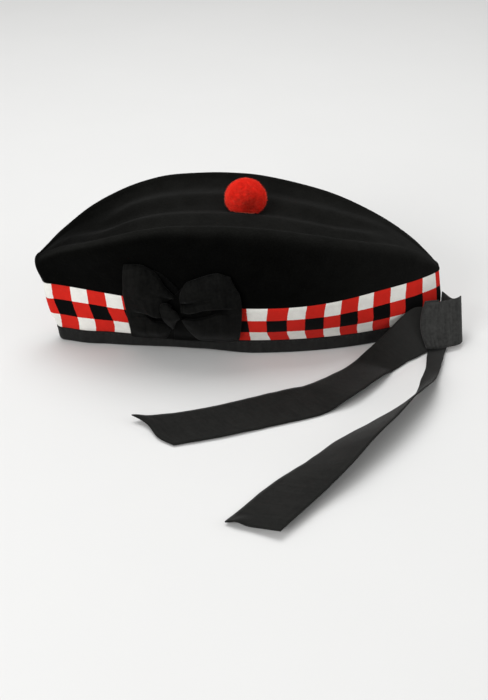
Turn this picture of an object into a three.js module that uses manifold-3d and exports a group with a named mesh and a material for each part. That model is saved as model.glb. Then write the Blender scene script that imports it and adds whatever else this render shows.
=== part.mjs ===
import * as THREE from 'three';
import { mergeGeometries, mergeVertices } from 'three/addons/utils/BufferGeometryUtils.js';
import Module from 'manifold-3d';

const wasm = await Module();
wasm.setup();

// Diced glengarry cap, sizes in millimetres. +X runs to the back of the cap, -Y to the wearer's
// left, +Z up. The origin is the middle of the head opening, in the plane the rim stands on.

const feltThickness = 2.0;
const bandThickness = 1.0;
const ribbonThickness = 1.0;
const gap = 0.3;

// The wall's plan is a long lens. Each layer is the same spine line swept out by its own radius.
const frontPower = 1.25;
const backPower = 0.95;
const bandRadius = 5.0;
const feltRadius = bandRadius - bandThickness - gap;
const crownRadius = bandRadius + 0.3;

// Spine of the side wall by height: front end, back end and half width.
const wallLevels = [
  { z: 0.0, front: -130.0, back: 129.0, half: 27.6 },
  { z: 10.2, front: -131.3, back: 129.7, half: 27.8 },
  { z: 21.3, front: -135.5, back: 130.4, half: 35.8 },
  { z: 33.2, front: -137.7, back: 129.0, half: 41.8 },
  { z: 45.2, front: -138.5, back: 127.2, half: 46.0 },
];
const [bandBottom, bandLine, bandUpperLine, bandTop] = wallLevels.slice(1).map((level) => level.z);

// Spine of the ridge that parts side wall from crown, front to back.
const ridgeRows = [
  { x: -142.4, half: 0.0, z: 65.5 },
  { x: -125.0, half: 12.8, z: 78.5 },
  { x: -100.0, half: 27.5, z: 91.5 },
  { x: -75.0, half: 36.3, z: 99.0 },
  { x: -50.0, half: 41.6, z: 102.3 },
  { x: -25.0, half: 43.8, z: 102.5 },
  { x: 0.0, half: 44.0, z: 100.5 },
  { x: 25.0, half: 42.8, z: 96.3 },
  { x: 50.0, half: 38.8, z: 90.2 },
  { x: 75.0, half: 30.5, z: 81.8 },
  { x: 100.0, half: 17.8, z: 70.0 },
  { x: 117.0, half: 7.0, z: 57.6 },
  { x: 126.6, half: 0.0, z: 47.8 },
];
const wallBulge = 1.2;

// Lengthwise folds of the crown, from the ridge in to the centre crease: share of the half width
// and drop below the ridge where the folds are deepest.
const crownFolds = [
  { share: 0.0, drop: 9.6 },
  { share: 0.17, drop: 6.4 },
  { share: 0.33, drop: 2.2 },
  { share: 0.45, drop: 4.6 },
  { share: 0.64, drop: 6.6 },
  { share: 0.86, drop: 2.6 },
  { share: 1.0, drop: 0.0 },
];
const crownShares = [0.96, 0.88, 0.78, 0.66, 0.55, 0.45, 0.38, 0.33, 0.27, 0.18, 0.08, 0];

const arcSteps = 3;
const wallSteps = 26;

// Rim binding: ribbon folded over the rim.
const bindingFoot = 1.2;
const bindingInnerThickness = 0.8;

// Pompom on the centre crease.
const toorieCentre = new THREE.Vector3(-4, 0, 103.2);
const toorieCore = 13.7;
const toorieReach = 15.0;
const toorieRings = [
  { height: 80, tufts: 3 },
  { height: 52, tufts: 8 },
  { height: 24, tufts: 11 },
  { height: -5, tufts: 12 },
];

// Ribbon bow on the left side: lower and upper edge of each loop from the pinch outwards.
const bowBack = 1.5;
const bowMiddle = -55.4;
const bowGround = 9.5;
const bowLeft = {
  rows: [
    { out: 0.0, x: -56.2, low: 24, high: 46 },
    { out: 0.1, x: -59.0, low: 19, high: 55 },
    { out: 0.3, x: -65.0, low: 11, high: 68 },
    { out: 0.6, x: -74.0, low: 9, high: 74 },
    { out: 0.85, x: -83.0, low: 9, high: 74.5 },
    { out: 1.0, x: -87.0, low: 12, high: 70 },
  ],
  folds: [
    { across: 0.24, depth: 3.2, width: 0.1 },
    { across: 0.5, depth: 4.4, width: 0.08 },
    { across: 0.78, depth: 3.0, width: 0.1 },
  ],
  puff: 7.0,
};
const bowRight = {
  rows: [
    { out: 0.0, x: -54.6, low: 27, high: 46 },
    { out: 0.1, x: -50.0, low: 24, high: 54 },
    { out: 0.2, x: -45.0, low: 19, high: 60 },
    { out: 0.38, x: -38.0, low: 13, high: 67 },
    { out: 0.6, x: -28.0, low: 9, high: 71.5 },
    { out: 0.8, x: -17.5, low: 9, high: 71 },
    { out: 0.93, x: -12.0, low: 9, high: 63 },
    { out: 1.0, x: -9.0, low: 10, high: 54 },
  ],
  folds: [
    { across: 0.28, depth: 3.2, width: 0.1 },
    { across: 0.5, depth: 4.6, width: 0.08 },
    { across: 0.77, depth: 3.0, width: 0.1 },
  ],
  puff: 7.0,
};
const knotCentre = { x: -57.0, z: 34.5 };
const knotHalf = new THREE.Vector3(3.8, 2.6, 11.5);
const knotTilt = 17;
const knotDepth = 8.8;

// Ribbon loop at the back: plan of its path, ribbon width and lean to the cap.
const loopRows = [
  { x: 135.7, y: -1.5, width: 15.0, lean: 0 },
  { x: 142.0, y: -11.5, width: 20.0, lean: 10 },
  { x: 148.0, y: -21.0, width: 26.5, lean: 22 },
  { x: 150.3, y: -28.5, width: 31.0, lean: 29 },
  { x: 146.5, y: -33.2, width: 32.5, lean: 30 },
  { x: 136.0, y: -35.2, width: 32.5, lean: 30 },
  { x: 125.5, y: -36.4, width: 32.5, lean: 30 },
  { x: 121.4, y: -34.0, width: 32.5, lean: 30 },
  { x: 123.6, y: -30.8, width: 32.0, lean: 30 },
  { x: 131.0, y: -29.6, width: 31.5, lean: 30 },
];
const loopLift = 3.2;

// Ribbon tails laid on the surface: middle line, roll from flat to on edge, half width.
const tailUpperRows = [
  { x: 117.0, y: -29.6, roll: 56, half: 17.0 },
  { x: 110.0, y: -32.0, roll: 50, half: 17.0 },
  { x: 99.6, y: -40.6, roll: 25, half: 17.0 },
  { x: 86.0, y: -52.4, roll: -6, half: 17.0 },
  { x: 62.0, y: -77.0, roll: -13, half: 17.0 },
  { x: 35.5, y: -94.0, roll: -2, half: 17.0 },
  { x: 12.8, y: -102.8, roll: 1, half: 17.0 },
  { x: -34.4, y: -117.4, roll: 0, half: 17.0 },
  { x: -76.8, y: -127.8, roll: 10, half: 17.0 },
];
const tailLowerRows = [
  { x: 128.4, y: -33.0, roll: -3, half: 6.2 },
  { x: 125.4, y: -42.0, roll: -8, half: 6.0 },
  { x: 122.2, y: -54.0, roll: -14, half: 6.2 },
  { x: 118.0, y: -68.0, roll: -26, half: 6.4 },
  { x: 112.5, y: -80.0, roll: -42, half: 7.2 },
  { x: 104.8, y: -92.0, roll: -60, half: 9.5 },
  { x: 96.0, y: -107.0, roll: -57, half: 12.0 },
  { x: 75.8, y: -130.4, roll: -42, half: 15.0 },
  { x: 50.3, y: -155.7, roll: -29, half: 16.8 },
  { x: 34.8, y: -173.0, roll: -22, half: 17.0 },
  { x: 15.2, y: -191.6, roll: -12, half: 17.0 },
  { x: -6.5, y: -214.5, roll: -9, half: 17.0 },
  { x: -19.0, y: -228.5, roll: -6, half: 17.0 },
];
const tailUpperCut = 20;
const tailLowerCut = 13;

// Monotone cubic through the rows of a table.
function smooth(rows, key, column, at) {
  const last = rows.length - 1;
  if (at <= rows[0][key]) return rows[0][column];
  if (at >= rows[last][key]) return rows[last][column];
  let i = 0;
  while (at > rows[i + 1][key]) i += 1;
  const rise = (k) => (rows[k + 1][column] - rows[k][column]) / (rows[k + 1][key] - rows[k][key]);
  const slope = (k) => {
    if (k === 0) return rise(0);
    if (k === last) return rise(last - 1);
    const before = rise(k - 1);
    const after = rise(k);
    return before * after <= 0 ? 0 : (2 * before * after) / (before + after);
  };
  const span = rows[i + 1][key] - rows[i][key];
  const t = (at - rows[i][key]) / span;
  const t2 = t * t;
  const t3 = t2 * t;
  return (2 * t3 - 3 * t2 + 1) * rows[i][column] + (t3 - 2 * t2 + t) * span * slope(i)
    + (3 * t2 - 2 * t3) * rows[i + 1][column] + (t3 - t2) * span * slope(i + 1);
}

const lerp = THREE.MathUtils.lerp;
const widest = frontPower / (frontPower + backPower);
const lensPeak = widest ** frontPower * (1 - widest) ** backPower;
const lens = (u) => (u ** frontPower * (1 - u) ** backPower) / lensPeak;

// Spine of the wall at a height below the band's top.
function lowSpine(z) {
  const front = smooth(wallLevels, 'z', 'front', z);
  const back = smooth(wallLevels, 'z', 'back', z);
  const half = smooth(wallLevels, 'z', 'half', z);
  return (u) => ({ x: lerp(front, back, u), y: half * lens(u), z });
}

function ridgeSpine(u) {
  const x = lerp(ridgeRows[0].x, ridgeRows[ridgeRows.length - 1].x, u);
  return { x, y: smooth(ridgeRows, 'x', 'half', x), z: smooth(ridgeRows, 'x', 'z', x) };
}

// Spine of the wall between the band's top and the ridge.
function highSpine(rise) {
  const foot = lowSpine(bandTop);
  return (u) => {
    const low = foot(u);
    const top = ridgeSpine(u);
    const bulge = wallBulge * Math.sin(Math.PI * rise) * lens(u);
    return { x: lerp(low.x, top.x, rise), y: lerp(low.y, top.y, rise) + bulge, z: lerp(bandTop, top.z, rise) };
  };
}

// Stations run from the front point to the back point: a turn round each end and the long side between.
const stations = [];
for (let i = 0; i < arcSteps; i += 1) stations.push({ u: 0, turn: i / arcSteps - 1 });
for (let i = 0; i <= wallSteps; i += 1) stations.push({ u: 0.5 - 0.5 * Math.cos((Math.PI * i) / wallSteps), turn: 0 });
for (let i = 1; i <= arcSteps; i += 1) stations.push({ u: 1, turn: i / arcSteps });
const lastStation = stations.length - 1;

// Point of a layer at a station: the spine moved out by the layer's radius.
function layerPoint(spine, index, radius) {
  const { u, turn } = stations[index];
  const here = spine(u);
  const before = spine(Math.max(0, u - 0.004));
  const after = spine(Math.min(1, u + 0.004));
  let angle = Math.atan2(after.x - before.x, before.y - after.y);
  if (turn < 0) angle = lerp(angle, Math.PI, -turn);
  if (turn > 0) angle = lerp(angle, 0, turn);
  const end = index === 0 || index === lastStation;
  return new THREE.Vector3(here.x + radius * Math.cos(angle), end ? 0 : here.y + radius * Math.sin(angle), here.z);
}

// Drop of the crown below the ridge line at a share of its half width.
function crownDrop(x, share) {
  const ends = Math.min(1, Math.max(0, Math.min((x + 140) / 62, (126 - x) / 58)));
  const depth = ends * ends * (3 - 2 * ends);
  return depth * smooth(crownFolds, 'share', 'drop', Math.abs(share));
}

// A grid of quads; every patch of one solid is wound the same way round.
function patch(columns, rows, at, flip) {
  const positions = [];
  const index = [];
  for (let i = 0; i <= columns; i += 1) {
    for (let j = 0; j <= rows; j += 1) positions.push(...at(i, j).toArray());
  }
  for (let i = 0; i < columns; i += 1) {
    for (let j = 0; j < rows; j += 1) {
      const a = i * (rows + 1) + j;
      const b = a + rows + 1;
      if (flip) index.push(a, a + 1, b, b, a + 1, b + 1);
      else index.push(a, b, a + 1, b, b + 1, a + 1);
    }
  }
  const geometry = new THREE.BufferGeometry();
  geometry.setAttribute('position', new THREE.Float32BufferAttribute(positions, 3));
  geometry.setIndex(index);
  return geometry;
}

// Patches joined into one closed skin, without the flat triangles at the points of the lens.
function closeSkin(patches) {
  const joined = mergeVertices(mergeGeometries(patches), 1e-3);
  const source = joined.index.array;
  const kept = [];
  for (let i = 0; i < source.length; i += 3) {
    const [a, b, c] = [source[i], source[i + 1], source[i + 2]];
    if (a !== b && b !== c && c !== a) kept.push(a, b, c);
  }
  const place = joined.attributes.position;
  const corner = [new THREE.Vector3(), new THREE.Vector3(), new THREE.Vector3()];
  let volume = 0;
  for (let i = 0; i < kept.length; i += 3) {
    corner.forEach((v, k) => v.fromBufferAttribute(place, kept[i + k]));
    volume += corner[0].dot(corner[1].clone().cross(corner[2])) / 6;
  }
  if (volume < 0) {
    for (let i = 0; i < kept.length; i += 3) [kept[i + 1], kept[i + 2]] = [kept[i + 2], kept[i + 1]];
  }
  joined.setIndex(kept);
  joined.computeVertexNormals();
  return joined;
}

// A thin sheet given by its middle surface.
function sheetSolid(columns, rows, at, thickness) {
  const middle = (i, j) => at(i / columns, j / rows);
  const normal = (i, j) => {
    const along = middle(Math.min(columns, i + 1), j).sub(middle(Math.max(0, i - 1), j));
    const over = middle(i, Math.min(rows, j + 1)).sub(middle(i, Math.max(0, j - 1)));
    return along.cross(over).normalize();
  };
  const side = (sign) => (i, j) => middle(i, j).addScaledVector(normal(i, j), (sign * thickness) / 2);
  const front = side(1);
  const back = side(-1);
  const edge = (i, j, k) => (k === 0 ? front(i, j) : back(i, j));
  return closeSkin([
    patch(columns, rows, front, false),
    patch(columns, rows, back, true),
    patch(columns, 1, (i, k) => edge(i, 0, k), true),
    patch(columns, 1, (i, k) => edge(i, rows, k), false),
    patch(1, rows, (k, j) => edge(0, j, k), true),
    patch(1, rows, (k, j) => edge(columns, j, k), false),
  ]);
}

function toManifold(geometry) {
  const plain = geometry.clone();
  plain.deleteAttribute('normal');
  plain.deleteAttribute('uv');
  const merged = mergeVertices(plain, 1e-4);
  return new wasm.Manifold(new wasm.Mesh({
    numProp: 3,
    vertProperties: new Float32Array(merged.attributes.position.array),
    triVerts: new Uint32Array(merged.index.array),
  }));
}

function fromManifold(solid) {
  const mesh = solid.getMesh();
  const geometry = new THREE.BufferGeometry();
  geometry.setAttribute('position', new THREE.Float32BufferAttribute(mesh.vertProperties, 3));
  geometry.setIndex(Array.from(mesh.triVerts));
  geometry.computeVertexNormals();
  return geometry;
}

const cap = new THREE.Group();
cap.name = 'glengarry_cap';
function addPiece(name, geometry, color, roughness) {
  const piece = new THREE.Mesh(geometry, new THREE.MeshStandardMaterial({ color, roughness, metalness: 0 }));
  piece.name = name;
  cap.add(piece);
}

// Felt body: one skin of side walls and folded crown, listed from the near rim over to the far rim.
const bodyFoot = bindingFoot + gap;
const outerWall = [
  ...[bodyFoot, bandBottom, bandLine, bandUpperLine, bandTop - 0.2].map((z) => ({ spine: lowSpine(z), radius: feltRadius })),
  { spine: lowSpine(bandTop), radius: crownRadius, lift: gap },
  ...[0.25, 0.55, 0.85, 0.96].map((rise) => ({ spine: highSpine(rise), radius: crownRadius })),
  { spine: ridgeSpine, radius: bandRadius - 0.5 },
];
const innerWall = [
  ...[bodyFoot, bandLine, bandTop].map((z) => ({ spine: lowSpine(z), radius: feltRadius - feltThickness })),
  { spine: highSpine(0.5), radius: feltRadius - feltThickness + 0.6 },
  { spine: ridgeSpine, radius: bandRadius - 1.4 - feltThickness },
];
const innerShares = crownShares.filter((share, k) => k % 2 === 1);

function bodySkin(wall, shares, drop) {
  const crown = [...shares, ...shares.slice(0, -1).reverse().map((share) => -share)];
  const rows = 2 * wall.length + crown.length - 1;
  const at = (i, j) => {
    const fromEnd = Math.min(j, rows - j);
    const sign = j <= rows / 2 ? -1 : 1;
    if (fromEnd < wall.length) {
      const level = wall[fromEnd];
      const point = layerPoint(level.spine, i, level.radius);
      const ridge = fromEnd === wall.length - 1;
      return point.set(point.x, sign * point.y, point.z + (level.lift ?? 0) - (ridge ? drop : 0));
    }
    const ridge = wall[wall.length - 1];
    const side = layerPoint(ridge.spine, i, ridge.radius);
    const share = crown[j - wall.length];
    return new THREE.Vector3(side.x, -share * side.y, side.z - drop - crownDrop(side.x, share));
  };
  return { rows, at };
}

const outerSkin = bodySkin(outerWall, crownShares, 0);
const innerSkin = bodySkin(innerWall, innerShares, feltThickness);
const rimStrip = (jOuter, jInner) => (i, k) => (k === 0 ? outerSkin.at(i, jOuter) : innerSkin.at(i, jInner));
addPiece('cap_body', closeSkin([
  patch(lastStation, outerSkin.rows, outerSkin.at, false),
  patch(lastStation, innerSkin.rows, innerSkin.at, true),
  patch(lastStation, 1, rimStrip(0, 0), true),
  patch(lastStation, 1, rimStrip(outerSkin.rows, innerSkin.rows), false),
]), 0x141414, 0.95);

// A ring round the whole cap from a closed section; each corner of it names a height and a layer.
function ringSolid(section) {
  const turn = 2 * lastStation;
  const corners = section.map((corner) => ({ ...corner, spine: lowSpine(corner.z) }));
  return closeSkin([patch(turn, corners.length, (i, j) => {
    const station = i <= lastStation ? i : turn - i;
    const corner = corners[j % corners.length];
    const point = layerPoint(corner.spine, station, corner.radius);
    return i <= lastStation ? point.setY(-point.y) : point;
  }, false)]);
}

const bandLow = bandBottom + gap;
const bandHigh = bandTop - gap;
const bandInner = bandRadius - bandThickness;
addPiece('diced_band', ringSolid([
  ...[bandLow, bandLine, bandUpperLine, bandHigh].map((z) => ({ z, radius: bandRadius })),
  ...[bandHigh, bandUpperLine, bandLine, bandLow].map((z) => ({ z, radius: bandInner })),
]), 0xb5261f, 0.9);

const bindingOuter = bandRadius + 0.3;
const bindingFace = feltRadius + gap;
const bindingBackFace = feltRadius - feltThickness - gap;
addPiece('rim_binding', ringSolid([
  { z: 0, radius: bindingOuter - 0.5 },
  { z: 0.6, radius: bindingOuter },
  { z: bandBottom, radius: bindingOuter },
  { z: bandBottom, radius: bindingFace },
  { z: bindingFoot, radius: bindingFace },
  { z: bindingFoot, radius: bindingBackFace },
  { z: bandBottom, radius: bindingBackFace },
  { z: bandBottom, radius: bindingBackFace - bindingInnerThickness },
  { z: 0, radius: bindingBackFace - bindingInnerThickness },
]), 0x1c1c1e, 0.8);

// Pompom: wool tufts fused to a round head and trimmed to sit on the crown.
const head = toManifold(new THREE.IcosahedronGeometry(toorieCore, 2)).translate(toorieCentre.toArray());
let toorie = head;
for (const ring of toorieRings) {
  const tilt = THREE.MathUtils.degToRad(ring.height);
  for (let i = 0; i < ring.tufts; i += 1) {
    const turn = (2 * Math.PI * (i + (ring.tufts % 2) / 2)) / ring.tufts;
    const way = new THREE.Vector3(Math.cos(tilt) * Math.cos(turn), Math.cos(tilt) * Math.sin(turn), Math.sin(tilt));
    const tuft = new THREE.CylinderGeometry(1.3, 4.6, 5, 5);
    tuft.applyQuaternion(new THREE.Quaternion().setFromUnitVectors(new THREE.Vector3(0, 1, 0), way));
    const seat = toorieCentre.clone().addScaledVector(way, toorieReach - 2.5 + 0.3 * Math.sin(5 * i + ring.height));
    tuft.translate(seat.x, seat.y, seat.z);
    toorie = toorie.add(toManifold(tuft));
  }
}
const bedHalf = 24;
const bedSteps = 12;
const bedTop = (i, j) => {
  const x = toorieCentre.x + bedHalf * ((2 * i) / bedSteps - 1);
  const y = bedHalf * ((2 * j) / bedSteps - 1);
  const ridge = ridgeSpine((x - ridgeRows[0].x) / (ridgeRows[ridgeRows.length - 1].x - ridgeRows[0].x));
  return new THREE.Vector3(x, y, ridge.z - crownDrop(x, y / (ridge.y + bandRadius - 0.5)) + 0.6);
};
const bedFoot = (i, j) => bedTop(i, j).setZ(60);
const bedSide = (at) => (i, k) => (k === 0 ? bedTop(...at(i)) : bedFoot(...at(i)));
const bed = closeSkin([
  patch(bedSteps, bedSteps, bedTop, false),
  patch(bedSteps, bedSteps, bedFoot, true),
  patch(bedSteps, 1, bedSide((i) => [i, 0]), true),
  patch(bedSteps, 1, bedSide((i) => [i, bedSteps]), false),
  patch(bedSteps, 1, bedSide((i) => [0, i]), false),
  patch(bedSteps, 1, bedSide((i) => [bedSteps, i]), true),
]);
addPiece('toorie', fromManifold(toorie.subtract(toManifold(bed))), 0xc92a20, 1.0);

// Outer face of the near wall at a place along the cap and a height.
function wallFace(x, z) {
  let u = (x - wallLevels[4].front) / (wallLevels[4].back - wallLevels[4].front);
  let point = null;
  for (let k = 0; k < 4; k += 1) {
    const top = ridgeSpine(u);
    const spine = z <= bandTop ? lowSpine(z) : highSpine(Math.min(1, (z - bandTop) / (top.z - bandTop)));
    const a = spine(u);
    const b = spine(u + 0.004);
    const slope = (b.y - a.y) / (b.x - a.x);
    point = a.y + crownRadius * Math.sqrt(1 + slope * slope);
    u += ((x - a.x) / (b.x - a.x)) * 0.004;
  }
  return -point;
}

// One loop of the bow: out over the front, round its fold and back along the wall.
function bowLoop(side) {
  const frontShare = 0.56;
  const foldShare = 0.68;
  return (a, b) => {
    const front = a <= frontShare;
    let out = 1;
    let lay = 0;
    if (front) out = a / frontShare;
    else if (a >= foldShare) out = 1 - (a - foldShare) / (1 - foldShare);
    else lay = (a - frontShare) / (foldShare - frontShare);
    const away = Math.sign(side.rows[1].x - side.rows[0].x);
    const high = smooth(side.rows, 'out', 'high', out);
    let low = smooth(side.rows, 'out', 'low', out);
    let x = smooth(side.rows, 'out', 'x', out);
    if (a >= foldShare) {
      low = lerp(low, bowGround, 1 - out);
      x += (bowMiddle + gap * away - side.rows[0].x) * (1 - out) ** 4;
    }
    const z = lerp(low, high, b);
    const edge = 1 - (2 * b - 1) ** 4;
    const folds = side.folds.reduce((sum, fold) => {
      const off = (b - fold.across) / fold.width;
      return sum + fold.depth * Math.exp(-off * off);
    }, 0);
    const rise = Math.min(1, out / 0.4);
    const swell = side.puff * rise * rise * (3 - 2 * rise) * (1 - 0.35 * out) * (0.6 + 0.4 * edge);
    const fade = (1 - 0.75 * out) * Math.min(1, 4 * out);
    const frontDepth = bowBack + 1.9 + swell - folds * fade * Math.min(1, swell / 4);
    let depth = frontDepth;
    if (!front) {
      const endDepth = frontDepth;
      depth = a >= foldShare ? bowBack : lerp(endDepth, bowBack, 0.5 - 0.5 * Math.cos(Math.PI * lay));
      if (lay > 0) x += away * 0.5 * (endDepth - bowBack) * Math.sin(Math.PI * lay);
    }
    return new THREE.Vector3(x, wallFace(x, z) - depth, z);
  };
}
addPiece('cockade_front_loop', sheetSolid(16, 12, bowLoop(bowLeft), ribbonThickness), 0x19191b, 0.85);
addPiece('cockade_back_loop', sheetSolid(16, 12, bowLoop(bowRight), ribbonThickness), 0x19191b, 0.85);

// Strap wound round the middle of the bow.
const knot = new THREE.SphereGeometry(1, 12, 8);
knot.scale(knotHalf.x, knotHalf.y, knotHalf.z);
knot.rotateY(THREE.MathUtils.degToRad(-knotTilt));
knot.translate(knotCentre.x, wallFace(knotCentre.x, knotCentre.z) - knotDepth, knotCentre.z);
addPiece('cockade_knot', closeSkin([knot.deleteAttribute('normal').deleteAttribute('uv')]), 0x19191b, 0.85);

// Rows of a ribbon with their share of the length of its path.
function shareRows(rows, curve) {
  const lengths = curve.getLengths(20 * (rows.length - 1));
  return rows.map((row, i) => ({ ...row, share: lengths[20 * i] / lengths[lengths.length - 1] }));
}

// Ribbon loop at the back of the cap.
const loopCurve = new THREE.CatmullRomCurve3(loopRows.map(({ x, y }) => new THREE.Vector3(x, y, loopLift)));
const loopShares = shareRows(loopRows, loopCurve);
addPiece('back_loop', sheetSolid(34, 3, (a, b) => {
  const lean = THREE.MathUtils.degToRad(smooth(loopShares, 'share', 'lean', a));
  const reach = b * smooth(loopShares, 'share', 'width', a);
  return loopCurve.getPointAt(a).add(new THREE.Vector3(0, reach * Math.sin(lean), reach * Math.cos(lean)));
}, ribbonThickness), 0x202022, 0.8);

// A tail: its far edge is longer than its near edge by the slanting cut.
function tailSurface(rows, cut) {
  const curve = new THREE.CatmullRomCurve3(rows.map(({ x, y }) => new THREE.Vector3(x, y, 0)));
  const shares = shareRows(rows, curve);
  const length = curve.getLength();
  return (a, b) => {
    const share = a * (1 - (cut / length) * (1 - b));
    const middle = curve.getPointAt(share);
    const ahead = curve.getTangentAt(share);
    const over = new THREE.Vector3(ahead.y, -ahead.x, 0);
    const roll = THREE.MathUtils.degToRad(smooth(shares, 'share', 'roll', share));
    const half = smooth(shares, 'share', 'half', share);
    const height = half * Math.hypot(Math.sin(roll), 0.03) + 0.5 * ribbonThickness;
    const across = over.multiplyScalar(Math.cos(roll)).add(new THREE.Vector3(0, 0, Math.sin(roll)));
    return middle.setZ(height).addScaledVector(across, half * (2 * b - 1));
  };
}
addPiece('tail_upper', sheetSolid(36, 3, tailSurface(tailUpperRows, tailUpperCut), ribbonThickness), 0x202022, 0.8);
addPiece('tail_lower', sheetSolid(40, 3, tailSurface(tailLowerRows, tailLowerCut), ribbonThickness), 0x202022, 0.8);

export default cap;
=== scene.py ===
import math
import random

import bmesh
import bpy
from mathutils import Matrix, Vector, noise


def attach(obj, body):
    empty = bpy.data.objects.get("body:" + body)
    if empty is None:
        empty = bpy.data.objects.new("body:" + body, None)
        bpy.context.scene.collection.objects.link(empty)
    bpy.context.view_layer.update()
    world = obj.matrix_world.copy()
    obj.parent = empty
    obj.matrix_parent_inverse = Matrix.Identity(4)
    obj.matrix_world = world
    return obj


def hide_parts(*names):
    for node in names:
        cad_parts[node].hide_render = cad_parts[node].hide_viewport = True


# Diced glengarry cap. Tables are in millimetres, and every finished mesh is in metres.
# +X runs to the back of the cap, -Y to the wearer's left, +Z up; the rim stands on z = 0.
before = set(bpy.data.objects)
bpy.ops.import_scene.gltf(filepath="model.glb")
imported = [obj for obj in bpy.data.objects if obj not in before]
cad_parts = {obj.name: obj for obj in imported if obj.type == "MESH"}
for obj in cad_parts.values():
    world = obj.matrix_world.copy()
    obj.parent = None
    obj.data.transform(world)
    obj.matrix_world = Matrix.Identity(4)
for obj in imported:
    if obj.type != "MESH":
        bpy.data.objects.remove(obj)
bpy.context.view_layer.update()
mm = 0.001
print("frame loaded:", len(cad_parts), "nodes")


def rowsOf(columns, *rows):
    names = columns.split()
    return [dict(zip(names, row)) for row in rows]


def mix(a, b, share):
    return a + (b - a) * share


def ease(share):
    held = min(1.0, max(0.0, share))
    return held * held * (3 - 2 * held)


def bell(value, middle, width):
    return math.exp(-(((value - middle) / width) ** 2))


# Eased rise from 0 to 1 over a width; with a width below zero it falls from 1 to 0.
def ramp(value, start, width):
    return ease((value - start) / width)


# Cubic between two values or points, with a slope at each.
def cubic(start, end, leave, arrive, t):
    bend = (t**3 - 2 * t**2 + t) * leave + (t**3 - t**2) * arrive
    return (2 * t**3 - 3 * t**2 + 1) * start + (3 * t**2 - 2 * t**3) * end + bend


# Monotone cubic through the rows of a table.
def smooth(rows, key, column, at):
    last = len(rows) - 1
    if at <= rows[0][key]:
        return rows[0][column]
    if at >= rows[last][key]:
        return rows[last][column]
    i = 0
    while at > rows[i + 1][key]:
        i += 1

    def rise(k):
        return (rows[k + 1][column] - rows[k][column]) / (rows[k + 1][key] - rows[k][key])

    def slope(k):
        if k == 0:
            return rise(0)
        if k == last:
            return rise(last - 1)
        before, after = rise(k - 1), rise(k)
        return 0.0 if before * after <= 0 else 2 * before * after / (before + after)

    start, end = rows[i], rows[i + 1]
    span = end[key] - start[key]
    leave, arrive = span * slope(i), span * slope(i + 1)
    return cubic(start[column], end[column], leave, arrive, (at - start[key]) / span)


def newObject(name, data):
    made = bpy.data.objects.new(name, data)
    bpy.context.scene.collection.objects.link(made)
    return made


def meshOf(name, shape):
    mesh = bpy.data.meshes.new(name)
    shape.to_mesh(mesh)
    shape.free()
    return mesh


# Camera, floor and light

view = {
    "distance": 850,
    "elevation": 29.5,
    "yaw": 3.7,
    "focalPixels": 1190,
    "imageSize": (488, 700),
    "originPixel": (250.8, 330.5),
    "sensorWidth": 36,
}


def makeCamera():
    lens = bpy.data.cameras.new("camera")
    camera = newObject("camera", lens)
    lift = math.radians(view["elevation"])
    turn = math.radians(view["yaw"])
    ahead = Vector((math.sin(turn) * math.cos(lift), math.cos(turn) * math.cos(lift), -math.sin(lift)))
    camera.location = -ahead * view["distance"] * mm
    camera.rotation_euler = ahead.to_track_quat("-Z", "Y").to_euler()
    wide, tall = view["imageSize"]
    lens.sensor_width = view["sensorWidth"]
    lens.lens = view["focalPixels"] * lens.sensor_width / tall
    lens.shift_x = (wide / 2 - view["originPixel"][0]) / tall
    lens.shift_y = (view["originPixel"][1] - tall / 2) / tall
    bpy.context.scene.camera = camera


studio = {
    "sky": (1.0, 1.0, 0.99, 1.0),
    "skyStrength": 0.45,
    "aim": Vector((0, -0.04, 0.05)),
    "lights": rowsOf(
        "name x y z wide deep power",
        ("overhead", -0.1, 0.4, 1.4, 1.2, 1.0, 15.0),
        ("frontFill", -1.0, -1.3, 0.8, 0.9, 0.7, 18.0),
        ("backFill", 1.2, -0.45, 0.4, 0.5, 0.4, 3.0),
    ),
}


def makeLights():
    world = bpy.data.worlds.new("studio")
    bpy.context.scene.world = world
    world.use_nodes = True
    sky = world.node_tree.nodes["Background"]
    sky.inputs["Color"].default_value = studio["sky"]
    sky.inputs["Strength"].default_value = studio["skyStrength"]
    for row in studio["lights"]:
        lamp = bpy.data.lights.new(row["name"], "AREA")
        lamp.shape = "RECTANGLE"
        lamp.size = row["wide"]
        lamp.size_y = row["deep"]
        lamp.energy = row["power"]
        holder = newObject(row["name"], lamp)
        holder.location = (row["x"], row["y"], row["z"])
        way = studio["aim"] - holder.location
        holder.rotation_euler = way.to_track_quat("-Z", "Y").to_euler()
    bpy.context.scene.view_settings.view_transform = "Standard"


# Small helpers for materials: nodes with their inputs set or linked, sums, blends and noise

def addNode(tree, kind, inputs=None, **settings):
    made = tree.nodes.new("ShaderNode" + kind)
    for key, value in settings.items():
        setattr(made, key, value)
    for key, value in (inputs or {}).items():
        if isinstance(value, bpy.types.NodeSocket):
            tree.links.new(value, made.inputs[key])
        else:
            made.inputs[key].default_value = value
    return made


def reckon(tree, operation, first, second=None):
    inputs = {0: first} if second is None else {0: first, 1: second}
    return addNode(tree, "Math", inputs, operation=operation).outputs[0]


# A value with a share of another added to it.
def addShare(tree, value, other, share):
    return reckon(tree, "ADD", value, reckon(tree, "MULTIPLY", other, share))


def blendColors(tree, share, first, second, how="MIX"):
    inputs = {"Factor": share, 6: first, 7: second}
    return addNode(tree, "Mix", inputs, data_type="RGBA", blend_type=how).outputs[2]


def spread(tree, value, fromLow, fromHigh, toLow, toHigh):
    inputs = {"Value": value, "From Min": fromLow, "From Max": fromHigh, "To Min": toLow, "To Max": toHigh}
    return addNode(tree, "MapRange", inputs).outputs["Result"]


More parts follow.
